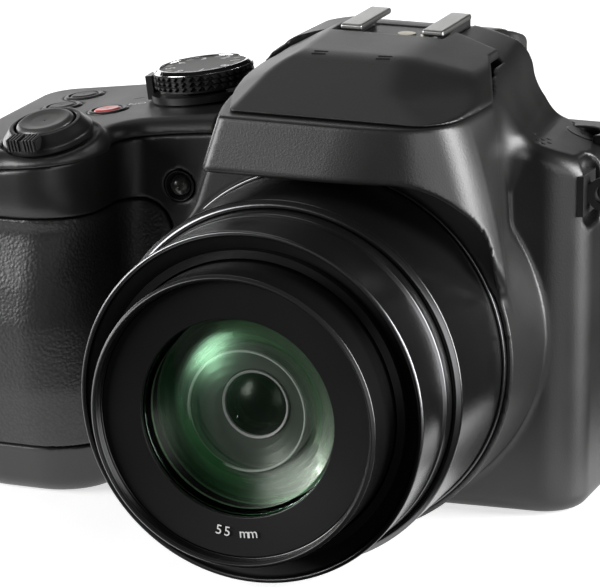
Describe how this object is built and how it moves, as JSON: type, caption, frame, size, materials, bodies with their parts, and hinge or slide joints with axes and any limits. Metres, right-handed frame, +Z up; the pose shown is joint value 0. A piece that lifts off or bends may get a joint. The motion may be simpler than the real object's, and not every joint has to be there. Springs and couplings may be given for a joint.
{
  "type": "bridge camera",
  "caption": "Bridge camera with a large fixed zoom lens, deep rubber grip, flip-up flash hump, accessory shoe, mode dial, eyepiece and rear screen.",
  "frame": {"origin": "mouth of the tripod socket on the base, under the lens axis", "axes": "+X to the right seen from the front, -Y the way the lens looks, +Z up"},
  "size_m": [0.1422, 0.1289, 0.0946],
  "materials": {
    "body_plastic": "fine matt texture",
    "rubber": "pebbled",
    "barrel_black": "satin",
    "inner_black": "matt",
    "bright_metal": "satin",
    "shutter_metal": "satin",
    "lens_glass": "coated",
    "screen_glass": "gloss",
    "board_green": "matt"
  },
  "bodies": {
    "camera_body": {"front_cover": "body_plastic", "rear_cover": "body_plastic", "top_cover": "body_plastic", "front_bezel": "body_plastic", "grip_rubber": "rubber", "thumb_rubber": "rubber", "lens_housing": "inner_black", "fixed_barrel": "barrel_black", "trim_ring": "bright_metal", "front_sleeve": "barrel_black", "rear_lens": "lens_glass", "image_sensor": "board_green", "main_board": "board_green", "screen_panel": "inner_black", "screen_window": "screen_glass", "eyepiece_housing": "body_plastic", "eyecup": "rubber", "eyepiece_lens": "lens_glass", "finder_display": "inner_black", "flash_bracket": "bright_metal", "flash_pin": "bright_metal", "shoe_rails": "bright_metal", "shoe_base": "inner_black", "battery": "inner_black", "memory_card": "inner_black", "door_pin": "bright_metal", "port_pin": "bright_metal", "strap_lugs": "bright_metal", "tripod_socket": "bright_metal", "focus_lamp": "lens_glass", "base_screws": "bright_metal"},
    "zoom_unit": {"zoom_barrel": "barrel_black", "name_ring": "barrel_black", "front_lens": "lens_glass", "second_lens": "lens_glass"},
    "flash_unit": {"flash_cover": "body_plastic", "flash_lamp": "lens_glass"},
    "mid_barrel": {"mid_barrel": "barrel_black"},
    "mode_dial": {"mode_dial": "body_plastic"},
    "power_lever": {"power_lever": "body_plastic"},
    "shutter_button": {"shutter_button": "shutter_metal"},
    "zoom_lever": {"zoom_lever": "body_plastic"},
    "movie_button": {"movie_button": "body_plastic"},
    "drive_button": {"drive_button": "body_plastic"},
    "focus_button": {"focus_button": "body_plastic"},
    "flash_button": {"flash_button": "body_plastic"},
    "rear_dial": {"rear_dial": "body_plastic"},
    "play_button": {"play_button": "body_plastic"},
    "finder_button": {"finder_button": "body_plastic"},
    "lock_button": {"lock_button": "body_plastic"},
    "cursor_pad": {"cursor_pad": "body_plastic"},
    "set_button": {"set_button": "body_plastic"},
    "display_button": {"display_button": "body_plastic"},
    "delete_button": {"delete_button": "body_plastic"},
    "diopter_dial": {"diopter_dial": "body_plastic"},
    "battery_door": {"battery_door": "body_plastic"},
    "port_door": {"port_door": "body_plastic"}
  },
  "joints": [
    {"name": "zoom_slide", "type": "slide", "parent": "camera_body", "child": "zoom_unit", "axis": [0, -1, 0], "range_m": [-0.009, 0.052]},
    {"name": "mid_slide", "type": "slide", "parent": "camera_body", "child": "mid_barrel", "axis": [0, -1, 0], "range_m": [-0.0045, 0.026]},
    {"name": "flash_swing", "type": "hinge", "parent": "camera_body", "child": "flash_unit", "pos_m": [0, -0.003, 0.0912], "axis": [-1, 0, 0], "range_deg": [0, 40]},
    {"name": "mode_dial_turn", "type": "hinge", "parent": "camera_body", "child": "mode_dial", "pos_m": [-0.0407, 0.005, 0.0769], "axis": [-0.1392, 0, 0.9903], "continuous": true},
    {"name": "power_lever_turn", "type": "hinge", "parent": "camera_body", "child": "power_lever", "pos_m": [-0.0407, 0.005, 0.0769], "axis": [-0.1392, 0, 0.9903], "range_deg": [0, 30]},
    {"name": "shutter_press", "type": "slide", "parent": "camera_body", "child": "shutter_button", "axis": [0.1361, 0.2079, -0.9686], "range_m": [0, 0.0008], "stiffness_N_per_m": 700},
    {"name": "zoom_lever_turn", "type": "hinge", "parent": "camera_body", "child": "zoom_lever", "pos_m": [-0.0596, -0.0326, 0.07424], "axis": [-0.1361, -0.2079, 0.9686], "range_deg": [-20, 20], "stiffness_Nm_per_rad": 0.02},
    {"name": "movie_press", "type": "slide", "parent": "camera_body", "child": "movie_button", "axis": [0.1392, 0, -0.9903], "range_m": [0, 0.0006], "stiffness_N_per_m": 600},
    {"name": "drive_press", "type": "slide", "parent": "camera_body", "child": "drive_button", "axis": [0.1392, 0, -0.9903], "range_m": [0, 0.0006], "stiffness_N_per_m": 600},
    {"name": "focus_press", "type": "slide", "parent": "camera_body", "child": "focus_button", "axis": [0.1392, 0, -0.9903], "range_m": [0, 0.0006], "stiffness_N_per_m": 600},
    {"name": "flash_press", "type": "slide", "parent": "camera_body", "child": "flash_button", "axis": [0, 0, -1], "range_m": [0, 0.0006], "stiffness_N_per_m": 600},
    {"name": "rear_dial_turn", "type": "hinge", "parent": "camera_body", "child": "rear_dial", "pos_m": [-0.063, 0.0172, 0.0625], "axis": [0, 0, 1], "continuous": true},
    {"name": "play_press", "type": "slide", "parent": "camera_body", "child": "play_button", "axis": [0, -1, 0], "range_m": [0, 0.0006], "stiffness_N_per_m": 600},
    {"name": "finder_press", "type": "slide", "parent": "camera_body", "child": "finder_button", "axis": [0, -1, 0], "range_m": [0, 0.0006], "stiffness_N_per_m": 600},
    {"name": "lock_press", "type": "slide", "parent": "camera_body", "child": "lock_button", "axis": [0, -1, 0], "range_m": [0, 0.0006], "stiffness_N_per_m": 600},
    {"name": "display_press", "type": "slide", "parent": "camera_body", "child": "display_button", "axis": [0, -1, 0], "range_m": [0, 0.0006], "stiffness_N_per_m": 600},
    {"name": "delete_press", "type": "slide", "parent": "camera_body", "child": "delete_button", "axis": [0, -1, 0], "range_m": [0, 0.0006], "stiffness_N_per_m": 600},
    {"name": "pad_press", "type": "slide", "parent": "camera_body", "child": "cursor_pad", "axis": [0, -1, 0], "range_m": [0, 0.0005], "stiffness_N_per_m": 900},
    {"name": "set_press", "type": "slide", "parent": "camera_body", "child": "set_button", "axis": [0, -1, 0], "range_m": [0, 0.0006], "stiffness_N_per_m": 600},
    {"name": "diopter_turn", "type": "hinge", "parent": "camera_body", "child": "diopter_dial", "pos_m": [0.0155, 0.0292, 0.084], "axis": [1, 0, 0], "range_deg": [-140, 140]},
    {"name": "battery_door_swing", "type": "hinge", "parent": "camera_body", "child": "battery_door", "pos_m": [-0.07, 0.011, 0.0012], "axis": [1, 0, 0], "range_deg": [0, 95]},
    {"name": "port_door_swing", "type": "hinge", "parent": "camera_body", "child": "port_door", "pos_m": [-0.084, 0.0067, 0.036], "axis": [0, 0, -1], "range_deg": [0, 100]}
  ],
  "couplings": [
    {"joint": "mid_slide", "follows": "zoom_slide", "ratio": 0.5}
  ]
}
